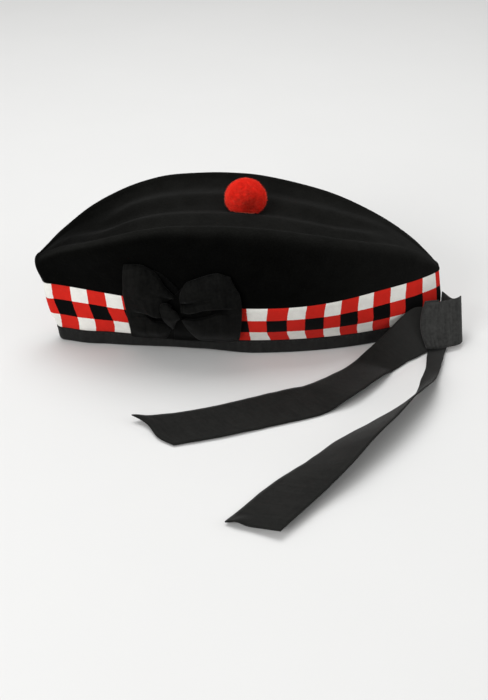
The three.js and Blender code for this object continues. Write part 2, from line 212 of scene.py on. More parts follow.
def grain(tree, place, scale, detail, stretch=None, turn=0.0):
    if stretch:
        inputs = {"Vector": place, "Scale": stretch, "Rotation": (turn, 0.4 * turn, 1.3 * turn)}
        place = addNode(tree, "Mapping", inputs).outputs["Vector"]
    inputs = {"Vector": place, "Scale": scale, "Detail": detail, "Roughness": 0.6}
    return addNode(tree, "TexNoise", inputs).outputs["Fac"]


# A new material, its nodes, and the place on the object in metres.
def newMaterial(name):
    material = bpy.data.materials.new(name)
    material.use_nodes = True
    tree = material.node_tree
    tree.nodes.clear()
    return material, tree, addNode(tree, "TexCoord").outputs["Object"]


def finishMaterial(material, surface, height, strength, distance):
    tree = material.node_tree
    bump = addNode(tree, "Bump", {"Height": height, "Strength": strength, "Distance": distance})
    shader = addNode(tree, "BsdfPrincipled", {**surface, "Normal": bump.outputs["Normal"]})
    addNode(tree, "OutputMaterial", {"Surface": shader.outputs["BSDF"]})
    return material


floorForm = {
    "size": 3.0,
    "drop": 0.0003,
    "dark": (0.685, 0.685, 0.68, 1),
    "pale": (0.705, 0.705, 0.70, 1),
}


def floorMaterial():
    material, tree, place = newMaterial("paleFloor")
    mottle = grain(tree, place, 9.0, 4.0)
    surface = {
        "Base Color": blendColors(tree, mottle, floorForm["dark"], floorForm["pale"]),
        "Roughness": spread(tree, mottle, 0.3, 0.7, 0.85, 0.95),
        "Specular IOR Level": 0.2,
    }
    return finishMaterial(material, surface, grain(tree, place, 700.0, 2.0), 0.05, 0.0002)


def makeFloor():
    shape = bmesh.new()
    bmesh.ops.create_grid(shape, x_segments=2, y_segments=2, size=floorForm["size"])
    bmesh.ops.translate(shape, verts=shape.verts, vec=(0, 0, -floorForm["drop"]))
    floor = newObject("floor", meshOf("floor", shape))
    floor.data.materials.append(floorMaterial())


makeCamera()
makeLights()
makeFloor()
print("camera, light and floor set")


# Pieces: a grid laid onto a surface, with the cloth's own flat measure kept as its UV

def gridShape(columns, rows, place, clothAt):
    shape = bmesh.new()
    bmesh.ops.create_grid(shape, x_segments=columns, y_segments=rows, size=1.0)
    cloth = shape.loops.layers.uv.new("cloth")
    cells = {v: (round((v.co.x + 1) / 2 * columns), round((v.co.y + 1) / 2 * rows)) for v in shape.verts}
    for face in shape.faces:
        for corner in face.loops:
            corner[cloth].uv = clothAt(*cells[corner.vert])
    for v, cell in cells.items():
        v.co = place(*cell) * mm
    return shape


# The cloth's flat measure: its length along the columns, its width along the rows.
def flatCloth(columns, rows, wide, long):
    return lambda i, j: (i / columns * long, j / rows * wide)


# The grid's cells in the order of its vertices.
def gridCells(columns, rows):
    return [(i, j) for j in range(rows + 1) for i in range(columns + 1)]


# Joins the seams, then turns every face outwards by the one that is nearest to the camera.
def closeSeams(shape):
    bmesh.ops.remove_doubles(shape, verts=shape.verts, dist=0.02 * mm)
    bmesh.ops.recalc_face_normals(shape, faces=shape.faces)
    nearest = min(shape.faces, key=lambda face: face.calc_center_median().y)
    if nearest.normal.y > 0:
        bmesh.ops.reverse_faces(shape, faces=shape.faces)


def relax(shape, verts, factor):
    axes = {"use_axis_x": True, "use_axis_y": True, "use_axis_z": True}
    bmesh.ops.smooth_vert(shape, verts=verts, factor=factor, **axes)


def addPiece(name, mesh, material, node=None):
    piece = newObject(name, mesh)
    mesh.materials.append(material)
    mesh.shade_smooth()
    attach(piece, "root")
    if node:
        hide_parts(node)
    return piece


def pieceFromShape(name, shape, material, node=None):
    return addPiece(name, meshOf(name, shape), material, node)


# One value from 0 to 1 at each vertex, for the piece's material to read.
def keepValues(piece, name, values):
    layer = piece.data.attributes.new(name, "FLOAT", "POINT")
    layer.data.foreach_set("value", values)


def soften(piece, level):
    layer = piece.modifiers.new("soft", "SUBSURF")
    layer.levels = level
    layer.render_levels = level


def thicken(piece, thickness, offset):
    layer = piece.modifiers.new("thickness", "SOLIDIFY")
    layer.thickness = thickness * mm
    layer.offset = offset


# The wall's plan is a long lens; each layer is the same spine swept out by its own radius
capForm = {
    "frontPower": 1.25,
    "backPower": 0.95,
    "bandRadius": 5.0,
    "feltRadius": 3.7,
    "crownRadius": 5.3,
    "bulge": 1.2,
    "step": 0.004,
    "tuckPlace": (0.87, 0.13),
    "noseFoot": {"out": 2.4, "along": (-116, 13), "side": (0, 6), "height": (36, -24)},
    "bowFoot": {"lift": 1.4, "in": 1.9, "front": (-100, 50), "back": (0, -36)},
    "crownEdge": 4.5,
    "crownFront": (-134, 50),
    "crownBack": (104, -55),
    "foldStart": (-116, 34),
    "plainFold": {"edge": 0.6, "depth": 6.0, "power": 1.6},
    "wall": rowsOf(
        "z front back half tuck",
        (0, -130, 129, 27.6, 0), (10.2, -131.3, 129.7, 27.8, 0), (21.3, -135.5, 130.4, 35.8, 0),
        (33.2, -137.7, 129, 41.8, 0.085), (45.2, -138.5, 127.2, 46, 0.155),
    ),
    "ridge": rowsOf(
        "x half z",
        (-142.4, 0, 65.5), (-125, 12.8, 78.5), (-100, 27.5, 91.5), (-75, 36.3, 99),
        (-50, 41.6, 102.3), (-25, 43.8, 102.5), (0, 44, 100.5), (25, 42.8, 96.3), (50, 38.8, 90.2),
        (75, 30.5, 82), (100, 17.8, 71.2), (112, 10.4, 64), (121, 4.8, 57), (126.6, 0, 50.4),
    ),
    "folds": rowsOf(
        "share drop",
        (0, 8.6), (0.10, 7.6), (0.20, 5.2), (0.28, 3.7), (0.335, 3.3), (0.39, 3.6), (0.50, 4.7),
        (0.64, 5.4), (0.78, 4), (0.90, 1.9), (1, 0.6),
    ),
}
bandBottom, bandLine, bandUpperLine, bandTop = [row["z"] for row in capForm["wall"][1:]]
widest = capForm["frontPower"] / (capForm["frontPower"] + capForm["backPower"])


def lensShape(u):
    front, back = capForm["frontPower"], capForm["backPower"]
    peak = widest**front * (1 - widest) ** back
    return u**front * (1 - u) ** back / peak


# The wall stands straighter towards the back, where it is tucked in.
def lowSpine(z):
    columns = ("front", "back", "half", "tuck")
    front, back, half, tuck = [smooth(capForm["wall"], "z", column, z) for column in columns]

    def spine(u):
        tucked = 1 - tuck * bell(u, *capForm["tuckPlace"])
        return Vector((mix(front, back, u), half * lensShape(u) * tucked, z))

    return spine


def ridgeSpine(u):
    ridge = capForm["ridge"]
    x = mix(ridge[0]["x"], ridge[-1]["x"], u)
    return Vector((x, smooth(ridge, "x", "half", x), smooth(ridge, "x", "z", x)))


def highSpine(rise):
    foot = lowSpine(bandTop)

    def spine(u):
        point = foot(u).lerp(ridgeSpine(u), rise)
        point.y += capForm["bulge"] * math.sin(math.pi * rise) * lensShape(u)
        return point

    return spine


# Stations from the front point to the back point: a turn round each end, the long side between.
def stationsOf(arcSteps, wallSteps):
    front = [(0.0, i / arcSteps - 1) for i in range(arcSteps)]
    side = [(0.5 - 0.5 * math.cos(math.pi * i / wallSteps), 0.0) for i in range(wallSteps + 1)]
    back = [(1.0, i / arcSteps) for i in range(1, arcSteps + 1)]
    return front + side + back


def layerPoint(spine, station, radius):
    u, turn = station
    here = spine(u)
    way = spine(min(1.0, u + capForm["step"])) - spine(max(0.0, u - capForm["step"]))
    angle = math.atan2(way.x, -way.y)
    if turn < 0:
        angle = mix(angle, math.pi, -turn)
    if turn > 0:
        angle = mix(angle, 0.0, turn)
    y = 0.0 if abs(turn) == 1 else here.y + radius * math.sin(angle)
    return Vector((here.x + radius * math.cos(angle), y, here.z))


def crownDrop(x, share):
    ends = min(ramp(x, *capForm["crownFront"]), ramp(x, *capForm["crownBack"]))
    fold = capForm["plainFold"]
    plain = fold["edge"] + fold["depth"] * (1 - min(1.0, abs(share)) ** fold["power"])
    folded = smooth(capForm["folds"], "share", "drop", abs(share))
    return ends * mix(plain, folded, ramp(x, *capForm["foldStart"]))


# The foot stands out a little behind the nose, and is drawn up and in under the bow.
def settleFoot(point):
    nose, under = capForm["noseFoot"], capForm["bowFoot"]
    out = nose["out"] * bell(point.x, *nose["along"]) * ramp(point.y, *nose["side"])
    drawn = ramp(point.x, *under["front"]) * ramp(point.x, *under["back"])
    drawn *= max(0.0, 1 - point.z / bandBottom)
    point.y += out * ramp(point.z, *nose["height"]) - under["in"] * drawn
    point.z += under["lift"] * drawn
    return point


# Outer face of the near wall at a place along the cap and a height.
def wallFace(x, z):
    top, step = capForm["wall"][-1], capForm["step"]
    u = (x - top["front"]) / (top["back"] - top["front"])
    face = 0.0
    for _ in range(4):
        rise = min(1.0, (z - bandTop) / (ridgeSpine(u).z - bandTop))
        spine = lowSpine(z) if z <= bandTop else highSpine(rise)
        here, ahead = spine(u), spine(u + step)
        slope = (ahead.y - here.y) / (ahead.x - here.x)
        face = here.y + capForm["crownRadius"] * math.sqrt(1 + slope * slope)
        u += (x - here.x) / (ahead.x - here.x) * step
    return -face


# Felt body: side walls that roll over a soft ridge into the folded crown

felt = {
    "thickness": 2.0,
    "arcSteps": 4,
    "wallSteps": 46,
    "hiddenLevels": [1.6, 6.0, 10.2, 12.2, 14.8, 18.0, 21.3, 25.2, 29.2, 33.2, 38.2, 43.0],
    "lipRows": rowsOf("lift radius", (-0.5, 4.7), (-0.1, 5.35), (0.5, 5.6), (1.5, 5.45)),
    "wallShares": [0.08, 0.22, 0.4, 0.58, 0.75, 0.9, 1.0],
    "lipFade": 6.0,
    "roll": 6.0,
    "rollLoss": 1.6,
    "rollGrowth": (0, 12),
    "rollShare": 0.45,
    "rollLift": 0.416,
    "rollSink": 0.768,
    "rollTurns": [22, 45, 68, 90],
    "crownLift": (0.7, 0.3),
    "crownShares": [0.96, 0.9, 0.82, 0.74, 0.66, 0.58, 0.5, 0.44, 0.38, 0.33, 0.27, 0.2,
                    0.13, 0.07, 0.03, 0],
    "waves": rowsOf("scale size", (26.0, 0.55), (75.0, 0.16)),
    "waveStart": (2, 12),
    "near": {"drop": 1.8, "edge": 6, "across": (0, 0.8), "rise": (0.3, 0.6), "height": (0, 40)},
    "nose": {"drop": 3.2, "dropAlong": (-105, 30), "bulge": 2.4, "bulgeAlong": (0, 0.05)},
    "hollow": {"depth": 5.0, "along": (-104, 17), "across": (0.15, 0.5), "rise": (0.6, 0.25)},
    "ends": {"z": 47, "front": -136, "back": 119, "passes": 7, "factor": 0.5},
    # Painted light: where the felt is made paler or darker by how light falls on it.
    "nap": {
        "nose": 0.85,
        "noseAlong": (-125, 70),
        "noseAcross": (-0.95, 0.3),
        "far": 0.3,
        "farAlong": (40, -60),
        "farAcross": (0.6, 0.3),
        "upward": (-0.1, 0.9),
        "back": 0.7,
        "backAlong": (10, 110),
    },
    # Shaded and lit copies of the felt's colour: painted shade and painted light.
    "shadeDark": (0.0007, 0.0007, 0.0006, 1),
    "shadePale": (0.0026, 0.0027, 0.0024, 1),
    "litDark": (0.0042, 0.0042, 0.0038, 1),
    "litPale": (0.0105, 0.0106, 0.0098, 1),
}


# Painted light: the felt is blended from its shaded colours to its lit ones by a painted light share, and the
# fibres lie in two crossing ways.
def feltMaterial():
    material, tree, place = newMaterial("blackFelt")
    nap = addNode(tree, "Attribute", attribute_name="nap").outputs["Fac"]
    oneWay = grain(tree, place, 620.0, 3.0, (1.0, 2.8, 1.5), 0.5)
    otherWay = grain(tree, place, 560.0, 3.0, (2.6, 1.0, 2.0), -0.8)
    fibres = reckon(tree, "MAXIMUM", oneWay, otherWay)
    mottle = grain(tree, place, 90.0, 5.0)
    share = addShare(tree, reckon(tree, "MULTIPLY", mottle, 0.45), fibres, 0.7)
    share = spread(tree, share, 0.43, 0.87, 0.0, 1.0)
    # The wall colours are the painted shade and the top colours the painted light.
    wall = blendColors(tree, share, felt["shadeDark"], felt["shadePale"])
    top = blendColors(tree, share, felt["litDark"], felt["litPale"])
    surface = {
        "Base Color": blendColors(tree, nap, wall, top),
        "Roughness": spread(tree, fibres, 0.35, 0.8, 0.98, 0.84),
        "Sheen Weight": 0.025,
        "Specular IOR Level": 0.0,
    }
    relief = addShare(tree, fibres, grain(tree, place, 210.0, 3.0), 1.6)
    return finishMaterial(material, surface, relief, 0.5, 0.0006)


def hiddenRow(z, station):
    return settleFoot(layerPoint(lowSpine(z), station, capForm["feltRadius"]))


# Height of the wall over the band; it runs out at the back, and the lip and roll with it.
def wallHeight(station):
    return ridgeSpine(station[0]).z - bandTop


def lipShare(station):
    return min(1.0, wallHeight(station) / felt["lipFade"])


def lipRow(row, station):
    point = layerPoint(lowSpine(bandTop), station, row["radius"])
    return point + Vector((0, 0, row["lift"] * lipShare(station)))


def lipTop(station):
    return felt["lipRows"][-1]["lift"] * lipShare(station)


def rollAt(station):
    most = felt["roll"] - felt["rollLoss"] * (1 - ramp(ridgeSpine(station[0]).y, *felt["rollGrowth"]))
    return min(most, felt["rollShare"] * (wallHeight(station) - lipTop(station)))


# A wider roll is set higher, so that the ridge keeps its line against the light.
def rollTop(roll):
    return felt["rollLift"] * roll - felt["rollSink"]


def wallRow(share, station):
    height, start, roll = wallHeight(station), lipTop(station), rollAt(station)
    end = height + rollTop(roll) - roll
    return layerPoint(highSpine(mix(start, end, share) / height), station, capForm["crownRadius"])


def rollRow(degrees, station):
    turn, roll = math.radians(degrees), rollAt(station)
    point = layerPoint(ridgeSpine, station, capForm["crownRadius"] - roll + roll * math.cos(turn))
    point.z += rollTop(roll) - roll + roll * math.sin(turn)
    return point


def crownRow(share, station):
    roll = rollAt(station)
    side = layerPoint(ridgeSpine, station, capForm["crownRadius"] - roll)
    y = share * side.y
    lift = rollTop(roll) * ramp(share, *felt["crownLift"])
    drop = crownDrop(side.x, y / (ridgeSpine(station[0]).y + capForm["crownEdge"]))
    return Vector((side.x, y, side.z + lift - drop))


# Painted light share: paler where the felt faces up and at the back, with painted shade behind the nose and
# along the far ridge.
def paintedLightAt(v):
    nap = felt["nap"]
    x, y, _ = v.co / mm
    aside = y / (smooth(capForm["ridge"], "x", "half", x) + capForm["crownEdge"])
    fold = nap["nose"] * (1 - ramp(x, *nap["noseAlong"])) * ramp(aside, *nap["noseAcross"])
    farShade = nap["far"] * ramp(x, *nap["farAlong"]) * ramp(aside, *nap["farAcross"])
    upward = ramp(v.normal.z, *nap["upward"]) * (1 - max(fold, farShade))
    return min(1.0, upward + nap["back"] * ramp(x, *nap["backAlong"]))


def makeFelt():
    near, nose, hollow, ends = felt["near"], felt["nose"], felt["hollow"], felt["ends"]
    stations = stationsOf(felt["arcSteps"], felt["wallSteps"])
    half = [(hiddenRow, z) for z in felt["hiddenLevels"]]
    half += [(lipRow, row) for row in felt["lipRows"]]
    half += [(wallRow, share) for share in felt["wallShares"]]
    half += [(rollRow, turn) for turn in felt["rollTurns"]]
    half += [(crownRow, share) for share in felt["crownShares"]]
    rows = 2 * (len(half) - 1)

    # The near ridge sits lower than the far one, and the nose bulges forwards under a hollow.
    def place(i, j):
        u = stations[i][0]
        makeRow, value = half[min(j, rows - j)]
        point = makeRow(value, stations[i])
        ridge, height = ridgeSpine(u).y, wallHeight(stations[i])
        rise = min(1.0, max(0.0, (point.z - bandTop) / height))
        point.x -= nose["bulge"] * bell(u, *nose["bulgeAlong"]) * math.sin(math.pi * rise)
        if 2 * j < rows:
            lower = ramp(point.y / (ridge + near["edge"]), *near["across"])
            lower *= ramp(rise, *near["rise"]) * ramp(height, *near["height"])
            point.z -= lower * (near["drop"] + nose["drop"] * bell(point.x, *nose["dropAlong"]))
            point.y = -point.y
        aside = point.y / (ridge + capForm["crownEdge"])
        sunk = bell(point.x, *hollow["along"]) * bell(aside, *hollow["across"])
        point.z -= hollow["depth"] * sunk * ramp(rise, *hollow["rise"])
        return point

    shape = gridShape(len(stations) - 1, rows, place, lambda i, j: (0.0, 0.0))
    closeSeams(shape)
    low, front, back = ends["z"] * mm, ends["front"] * mm, ends["back"] * mm
    loose = [v for v in shape.verts if v.co.z > low and not front < v.co.x < back]
    for _ in range(ends["passes"]):
        relax(shape, loose, ends["factor"])
    shape.normal_update()
    for v in shape.verts:
        free = ramp(v.co.z / mm - bandTop, *felt["waveStart"])
        swell = sum(row["size"] * noise.noise(v.co * row["scale"]) for row in felt["waves"])
        v.co += v.normal * free * swell * mm
    shape.normal_update()
    # A painted light share at each vertex, read by the felt's material.
    nap = shape.verts.layers.float.new("nap")
    for v in shape.verts:
        v[nap] = paintedLightAt(v)
    body = pieceFromShape("feltBody", shape, feltMaterial(), "cap_body")
    soften(body, 1)
    thicken(body, felt["thickness"], -1)


makeFelt()
print("felt body made")


# Diced band: squares of equal width along each level, three rows high

dicing = {
    "squares": rowsOf(
        "share column",
        (0, -0.65), (0.029, 0), (0.117, 2), (0.205, 4), (0.532, 12), (0.619, 14), (0.703, 16),
        (0.787, 18), (0.8755, 20), (0.9763, 22), (1, 22.5),
    ),
    "slides": rowsOf(
        "z front back",
        (10.2, -0.12, 0.24), (21.3, 0.12, 0.03), (33.2, 0, 0.07), (45.2, 0, 0.23),
    ),
    "frontSlide": (0.3, -0.15),
    "bowSlide": (0.485, 0.06),
    "seamSlide": (0.965, -0.06),
    "edgeInset": 0.3,
    "evenWidth": 1.05,
    "arcSteps": 6,
    "wallSteps": 110,
    "levels": [10.35, 10.7, 13.5, 17.5, 21.3, 25.2, 29.2, 33.2, 37.2, 41.2, 44.6, 44.95],
    "thickness": 0.9,
    "red": (0.66, 0.022, 0.014, 1),
    "white": (0.90, 0.89, 0.84, 1),
    "black": (0.0025, 0.0025, 0.0026, 1),
}


def dicingMaterial():
    material, tree, place = newMaterial("dicedWeave")
    cloth = addNode(tree, "SeparateXYZ", {0: addNode(tree, "UVMap", uv_map="cloth").outputs[0]})
    across, up = cloth.outputs[0], cloth.outputs[1]
    ragged = reckon(tree, "SUBTRACT", grain(tree, place, 900.0, 2.0), 0.5)
    sway = reckon(tree, "SUBTRACT", grain(tree, place, 60.0, 2.0), 0.5)
    drift = addShare(tree, reckon(tree, "MULTIPLY", ragged, 0.05), sway, 0.08)
    pair = reckon(tree, "FLOORED_MODULO", reckon(tree, "ADD", across, drift), 2.0)
    odd = reckon(tree, "GREATER_THAN", pair, dicing["evenWidth"])
    row = reckon(tree, "FLOOR", reckon(tree, "ADD", up, drift))
    middle = reckon(tree, "COMPARE", row, 1.0)
    outerRows = blendColors(tree, odd, dicing["red"], dicing["white"])
    middleRow = blendColors(tree, odd, dicing["black"], dicing["red"])
    squares = blendColors(tree, middle, outerRows, middleRow)
    warp = reckon(tree, "SINE", reckon(tree, "MULTIPLY", across, 88.0))
    weft = reckon(tree, "SINE", reckon(tree, "MULTIPLY", up, 80.0))
    weave = reckon(tree, "MULTIPLY", warp, weft)
    threads = addShare(tree, weave, grain(tree, place, 1800.0, 2.0), 1.6)
    shade = spread(tree, threads, -0.6, 1.8, 0.82, 1.0)
    wool = spread(tree, grain(tree, place, 150.0, 4.0), 0.3, 0.7, 0.88, 1.0)
    tint = addNode(tree, "CombineColor", {key: reckon(tree, "MULTIPLY", shade, wool) for key in range(3)})
    surface = {
        "Base Color": blendColors(tree, 1.0, squares, tint.outputs[0], "MULTIPLY"),
        "Roughness": spread(tree, threads, -0.6, 1.8, 0.97, 0.86),
        "Sheen Weight": 0.02,
        "Specular IOR Level": 0.03,
    }
    return finishMaterial(material, surface, threads, 0.35, 0.0003)


# A ring round the cap's foot: near side from front to back, then the far side back again.
def ringPlace(stations, levels, radii):
    last = len(stations) - 1
    spines = [lowSpine(z) for z in levels]

    def place(i, j):
        point = settleFoot(layerPoint(spines[j], stations[min(i, 2 * last - i)], radii[j]))
        return Vector((point.x, -point.y if i <= last else point.y, point.z))

    return place


# Length run along the near side at one level, in millimetres.
def ringRun(place, last, j):
    run = [0.0]
    for i in range(last):
        run.append(run[-1] + (place(i + 1, j) - place(i, j)).length)
    return run


def makeBand():
    stations = stationsOf(dicing["arcSteps"], dicing["wallSteps"])
    last = len(stations) - 1
    levels = dicing["levels"]
    radii = [capForm["bandRadius"]] * len(levels)
    radii[0] -= dicing["edgeInset"]
    radii[-1] -= dicing["edgeInset"]
    place = ringPlace(stations, levels, radii)
    runs = [ringRun(place, last, j) for j in range(len(levels))]
    lines = rowsOf("z row", (bandBottom, 0.0), (bandLine, 1.0), (bandUpperLine, 2.0), (bandTop, 3.0))

    def clothAt(i, j):
        share = runs[j][min(i, 2 * last - i)] / runs[j][-1]
        front, back = [smooth(dicing["slides"], "z", end, levels[j]) for end in ("front", "back")]
        column = smooth(dicing["squares"], "share", "column", share)
        column -= front * ramp(share, *dicing["frontSlide"])
        column -= back * ramp(share, *dicing["bowSlide"]) * ramp(share, *dicing["seamSlide"])
        return column, smooth(lines, "z", "row", levels[j])

    shape = gridShape(2 * last, len(levels) - 1, place, clothAt)
    closeSeams(shape)
    band = pieceFromShape("dicedBand", shape, dicingMaterial(), "diced_band")
    thicken(band, dicing["thickness"], -1)


makeBand()
print("diced band made")


# Ribbon cloth: ribs run across it, one to each pitch of its length

ribbonCloth = {
    "threadPitch": 0.42,
    "faded": (0.023, 0.023, 0.022, 1),
    # black, the painted shade deep in the bow's folds
    "deep": (0, 0, 0, 1),
}


def ribbonMaterial(name, look):
    material, tree, place = newMaterial(name)
    flat = addNode(tree, "UVMap", uv_map="cloth").outputs[0]
    cloth = addNode(tree, "SeparateXYZ", {0: flat})
    ribTurn = reckon(tree, "MULTIPLY", cloth.outputs[0], math.tau / (look["pitch"] * mm))
    threadTurn = reckon(tree, "MULTIPLY", cloth.outputs[1], math.tau / (ribbonCloth["threadPitch"] * mm))
    ribs = reckon(tree, "SINE", addShare(tree, ribTurn, grain(tree, place, 220.0, 2.0), 1.4))
    height = addShare(tree, ribs, reckon(tree, "SINE", threadTurn), 0.2)
    height = addShare(tree, height, grain(tree, place, 1500.0, 2.0), 1.2)
    # Faint streaks run across the ribbon, over a finer and a broader mottle.
    streaks = grain(tree, flat, 1.0, 3.0, (420.0, 45.0, 1.0))
    mottle = reckon(tree, "ADD", streaks, grain(tree, place, 420.0, 4.0))
    mottle = addShare(tree, mottle, grain(tree, place, 90.0, 4.0), 0.6)
    share = spread(tree, addShare(tree, mottle, height, 0.08), 1.05, 1.7, 0.0, 1.0)
    # Painted shade: the ribbon goes black where the hollow attribute marks a deep fold. It is also paler
    # towards the tails' roots.
    hollow = addNode(tree, "Attribute", attribute_name="hollow").outputs["Fac"]
    faded = addNode(tree, "Attribute", attribute_name="faded").outputs["Fac"]
    color = blendColors(tree, share, look["dark"], look["pale"])
    color = blendColors(tree, faded, color, ribbonCloth["faded"])
    surface = {
        "Base Color": blendColors(tree, hollow, color, ribbonCloth["deep"]),
        "Roughness": spread(tree, height, -0.8, 2.0, 0.86, 0.74),
        "Sheen Weight": look["sheen"],
        "Sheen Roughness": 0.35,
        "Specular IOR Level": look["specular"],
    }
    return finishMaterial(material, surface, height, 0.3, 0.00012)


# Small unevenness along and across a ribbon.
def crinkle(row, along, across, seed):
    return row["size"] * noise.noise(Vector((row["along"] * along, row["across"] * across, seed)))


# Binding: ribbon folded over the rim, from its outer edge round the foot to its inner edge

binding = {
    "arcSteps": 6,
    "wallSteps": 110,
    "section": rowsOf(
        "z radius",
        (10.15, 4.75), (10.4, 5.05), (10.15, 5.3), (8.6, 5.32), (6, 5.42), (3, 5.42), (1.2, 5.28),
        (0.4, 4.9), (0.06, 4.2), (0.02, 3), (0.06, 1.8), (0.4, 1.05), (1.2, 0.7), (3, 0.6),
        (6, 0.6), (9.6, 0.62), (10.15, 0.8),
    ),
    "thickness": 0.7,
    "stitch": {"z": 9.2, "radius": 5.42, "pace": 4.2, "length": 2.6, "thick": 0.28},
    "faceRow": 3,
    "look": {
        "dark": (0.0045, 0.0045, 0.0044, 1),
        "pale": (0.0130, 0.0132, 0.0125, 1),
        "pitch": 0.8, "sheen": 0.1, "specular": 0.2,
    },
}


def makeBinding():
    stations = stationsOf(binding["arcSteps"], binding["wallSteps"])
    last = len(stations) - 1
    section = binding["section"]
    place = ringPlace(stations, [row["z"] for row in section], [row["radius"] for row in section])
    run = ringRun(place, last, binding["faceRow"])
    over = [0.0]
    for before, after in zip(section, section[1:]):
        over.append(over[-1] + math.hypot(after["z"] - before["z"], after["radius"] - before["radius"]))

    def clothAt(i, j):
        return run[min(i, 2 * last - i)] * mm, over[j] * mm

    shape = gridShape(2 * last, len(section) - 1, place, clothAt)
    closeSeams(shape)
    ribbon = ribbonMaterial("bindingRibbon", binding["look"])
    piece = pieceFromShape("rimBinding", shape, ribbon, "rim_binding")
    thicken(piece, binding["thickness"], -1)
    makeStitches(stations, ribbon)


# One row of short stitches that holds the binding, all in one mesh.
def makeStitches(stations, ribbon):
    stitch = binding["stitch"]
    place = ringPlace(stations, [stitch["z"]], [stitch["radius"]])
    run = ringRun(place, len(stations) - 1, 0)
    shape = bmesh.new()
    for side in (-1, 1):
        i = 0
        at = 0.5 * stitch["pace"]
        while at < run[-1]:
            while run[i + 1] < at:
                i += 1
            start, end = place(i, 0), place(i + 1, 0)
            point = start.lerp(end, (at - run[i]) / (run[i + 1] - run[i]))
            way = (end - start).normalized()
            size = Matrix.Diagonal((0.5 * stitch["length"], stitch["thick"], stitch["thick"], 1))
            if side > 0:
                point.y, way.y = -point.y, -way.y
            pose = Matrix.Translation(point) @ way.to_track_quat("X", "Z").to_matrix().to_4x4()
            turned = Matrix.Scale(mm, 4) @ pose @ size
            bmesh.ops.create_uvsphere(shape, u_segments=6, v_segments=6, radius=1.0, matrix=turned)
            at += stitch["pace"]
    pieceFromShape("bindingStitches", shape, ribbon)


makeBinding()
print("rim binding made")


# Toorie: cut wool standing out from a round head, trimmed where it meets the crown

toorie = {
    "centre": Vector((-3.4, 0.0, 102.6)),
    "core": 12.7,
    "reach": 14.4,
    "flatten": 0.92,
    # Painted shade: a darker spot on the near side of the ball.
    "shadeWay": Vector((0.2, -0.97, 0.0)),
    "shadeWidth": 0.5,
    "seed": 11,
    "strands": 9000,
    "thick": 0.12,
    "sides": 4,
    "taper": 0.8,
    "sunk": 0.8,
    "bendAt": 0.55,
    "trim": 0.3,
    "bedGap": 0.2,
    "uneven": {"reach": 0.012, "lumps": 0.03, "lumpScale": 2.6, "tip": 0.25, "bend": 0.15, "tone": 0.12},
    "strandTone": {"plain": 0.95, "shadeDrop": 0.45},
    # The head is darker than the strands: painted shade under the fuzz.
    "headTone": {"plain": 0.68, "shadeDrop": 0.6},
    "tufts": rowsOf("scale size tone", (5, 0.025, 0.4), (17, 0.018, 0.4), (40, 0.008, 0)),
    "red": (1.0, 0.040, 0.024, 1),
    # The deep red is the dark end of the wool's tone, reached by random tufts and by the painted shade.
    "deep": (0.20, 0.003, 0.001, 1),
    "sheenTint": (1.0, 0.25, 0.16, 1),
}


def woolMaterial():
    material, tree, place = newMaterial("redWool")
    tone = addNode(tree, "Attribute", attribute_name="tone").outputs["Fac"]
    fluff = grain(tree, place, 900.0, 3.0)
    share = reckon(tree, "MULTIPLY", tone, spread(tree, fluff, 0.3, 0.7, 0.75, 1.0))
    surface = {
        "Base Color": blendColors(tree, share, toorie["deep"], toorie["red"]),
        "Roughness": spread(tree, fluff, 0.3, 0.7, 0.98, 0.85),
        "Sheen Weight": 0.8,
        "Sheen Roughness": 0.3,
        "Sheen Tint": toorie["sheenTint"],
        "Specular IOR Level": 0.0,
    }
    return finishMaterial(material, surface, fluff, 0.3, 0.0003)


def crownBed(x, y):
    ridge = capForm["ridge"]
    top = ridgeSpine((x - ridge[0]["x"]) / (ridge[-1]["x"] - ridge[0]["x"]))
    return top.z - crownDrop(x, y / (top.y + capForm["crownEdge"]))


# Joined tapering strands; each is a bent stalk of a few sides with a closed foot and a point.
def strandMesh(name, strands):
    sides, thick = toorie["sides"], toorie["thick"]
    points, faces, tones = [], [], []
    for root, bend, tip, tone in strands:
        way = (tip - root).normalized()
        first = way.orthogonal().normalized()
        second = way.cross(first)
        base = len(points)
        for centre, reach in ((root, thick), (bend, toorie["taper"] * thick)):
            for k in range(sides):
                turn = math.tau * k / sides
                points.append((centre + reach * (math.cos(turn) * first + math.sin(turn) * second)) * mm)
        points.append(tip * mm)
        tones += [tone] * (2 * sides + 1)
        for k in range(sides):
            after = (k + 1) % sides
            faces.append((base + k, base + after, base + sides + after, base + sides + k))
            faces.append((base + sides + k, base + sides + after, base + 2 * sides))
        faces.append(tuple(base + k for k in reversed(range(sides))))
    mesh = bpy.data.meshes.new(name)
    mesh.from_pydata(points, [], faces)
    layer = mesh.attributes.new("tone", "FLOAT", "POINT")
    layer.data.foreach_set("value", tones)
    mesh.update()
    return mesh


# How far a way out of the head lies in the painted shade spot on the ball's near side, from 0 to 1.
def shadeAt(way):
    return bell((way - toorie["shadeWay"]).length, 0, toorie["shadeWidth"])


